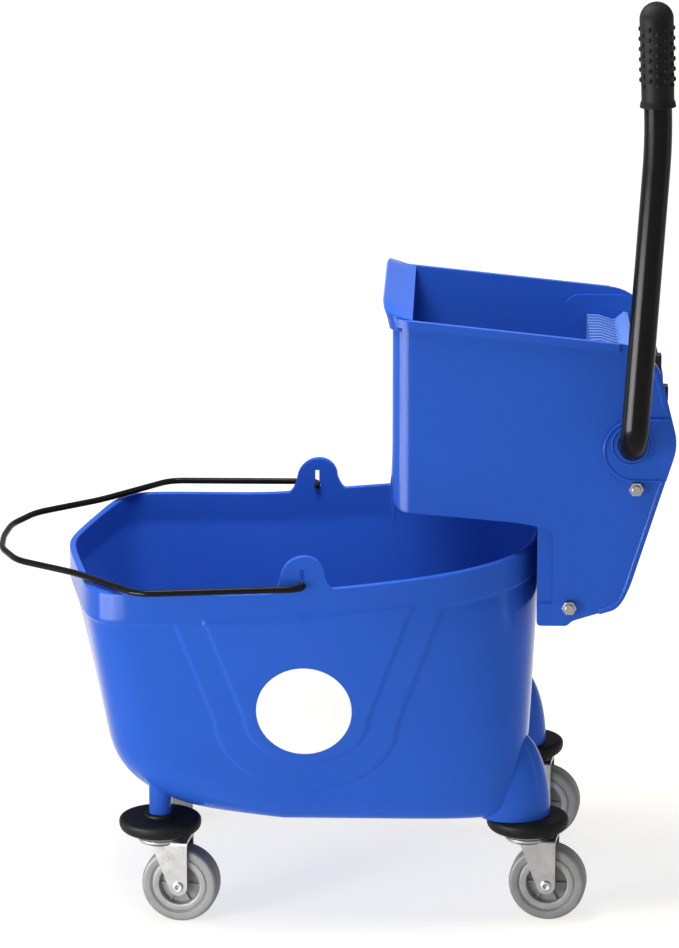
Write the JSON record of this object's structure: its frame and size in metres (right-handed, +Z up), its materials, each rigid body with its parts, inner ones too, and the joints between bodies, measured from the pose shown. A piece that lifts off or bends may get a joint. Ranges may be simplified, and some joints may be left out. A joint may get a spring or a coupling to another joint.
{
  "type": "mop bucket with side press wringer",
  "caption": "Oval wheeled mop bucket with a wire bail and swivel casters; a hopper wringer hooked on one end squeezes a mop sideways with a lever, pinions and racks.",
  "frame": {"origin": "middle of the whole length and width, on the floor", "axes": "+X from the bail end to the wringer end, +Y away from the lever side, +Z up"},
  "size_m": [0.6588, 0.4424, 0.9034],
  "materials": {
    "blue_plastic": "moulded, satin gloss",
    "black_steel": "black powder coat",
    "black_rubber": "moulded matt",
    "black_plastic": "moulded",
    "zinc": "bright zinc plate",
    "steel": "plated",
    "grey_tyre": "soft grey rubber",
    "grey_hub": "moulded"
  },
  "bodies": {
    "bucket": {"bucket": "blue_plastic", "bumper_front_near": "black_rubber", "bumper_front_far": "black_rubber", "bumper_back_near": "black_rubber", "bumper_back_far": "black_rubber", "stem_front_near": "steel", "stem_front_far": "steel", "stem_back_near": "steel", "stem_back_far": "steel"},
    "bail": {"bail_handle": "black_steel"},
    "wringer": {"wringer_body": "blue_plastic", "drain_grate": "blue_plastic", "shaft_bushing_near": "black_plastic", "shaft_bushing_far": "black_plastic", "tie_rods": "steel", "tie_nuts": "steel", "return_spring": "steel"},
    "lever": {"lever_tube": "black_steel", "lever_grip": "black_rubber", "pinion_near": "black_plastic", "pinion_far": "black_plastic", "pinion_pins": "steel", "shaft_cap": "black_plastic"},
    "press": {"press_plate": "blue_plastic", "rack_near": "black_plastic", "rack_far": "black_plastic", "rack_screws": "steel"},
    "caster_front_near": {"fork_front_near": "zinc", "axle_front_near": "steel"},
    "wheel_front_near": {"tyre_front_near": "grey_tyre", "hub_front_near": "grey_hub"},
    "caster_front_far": {"fork_front_far": "zinc", "axle_front_far": "steel"},
    "wheel_front_far": {"tyre_front_far": "grey_tyre", "hub_front_far": "grey_hub"},
    "caster_back_near": {"fork_back_near": "zinc", "axle_back_near": "steel"},
    "wheel_back_near": {"tyre_back_near": "grey_tyre", "hub_back_near": "grey_hub"},
    "caster_back_far": {"fork_back_far": "zinc", "axle_back_far": "steel"},
    "wheel_back_far": {"tyre_back_far": "grey_tyre", "hub_back_far": "grey_hub"}
  },
  "joints": [
    {"name": "bail_swing", "type": "hinge", "parent": "bucket", "child": "bail", "pos_m": [-0.0234, 0, 0.3531], "axis": [0, 1, 0], "range_deg": [0, 100]},
    {"name": "wringer_lift", "type": "slide", "parent": "bucket", "child": "wringer", "axis": [0, 0, 1], "range_m": [0, 0.09]},
    {"name": "lever_pull", "type": "hinge", "parent": "wringer", "child": "lever", "pos_m": [0.2866, 0, 0.47905], "axis": [0, -1, 0], "range_deg": [0, 85], "stiffness_Nm_per_rad": 1.5, "springref_deg": -22.92},
    {"name": "press_slide", "type": "slide", "parent": "wringer", "child": "press", "axis": [-1, 0, 0], "range_m": [0, 0.0361]},
    {"name": "swivel_front_near", "type": "hinge", "parent": "bucket", "child": "caster_front_near", "pos_m": [-0.1644, -0.137, 0.0375], "axis": [0, 0, 1], "continuous": true},
    {"name": "spin_front_near", "type": "hinge", "parent": "caster_front_near", "child": "wheel_front_near", "pos_m": [-0.1441, -0.13985, 0.0375], "axis": [0.1392, 0.9903, 0], "continuous": true},
    {"name": "swivel_front_far", "type": "hinge", "parent": "bucket", "child": "caster_front_far", "pos_m": [-0.1644, 0.137, 0.0375], "axis": [0, 0, 1], "continuous": true},
    {"name": "spin_front_far", "type": "hinge", "parent": "caster_front_far", "child": "wheel_front_far", "pos_m": [-0.16619, 0.15742, 0.0375], "axis": [-0.9962, -0.0872, 0], "continuous": true},
    {"name": "swivel_back_near", "type": "hinge", "parent": "bucket", "child": "caster_back_near", "pos_m": [0.1926, -0.122, 0.0375], "axis": [0, 0, 1], "continuous": true},
    {"name": "spin_back_near", "type": "hinge", "parent": "caster_back_near", "child": "wheel_back_near", "pos_m": [0.2129, -0.12485, 0.0375], "axis": [0.1392, 0.9903, 0], "continuous": true},
    {"name": "swivel_back_far", "type": "hinge", "parent": "bucket", "child": "caster_back_far", "pos_m": [0.1926, 0.122, 0.0375], "axis": [0, 0, 1], "continuous": true},
    {"name": "spin_back_far", "type": "hinge", "parent": "caster_back_far", "child": "wheel_back_far", "pos_m": [0.2129, 0.11915, 0.0375], "axis": [0.1392, 0.9903, 0], "continuous": true}
  ],
  "couplings": [
    {"joint": "press_slide", "follows": "lever_pull", "m_per_rad": 0.024}
  ]
}
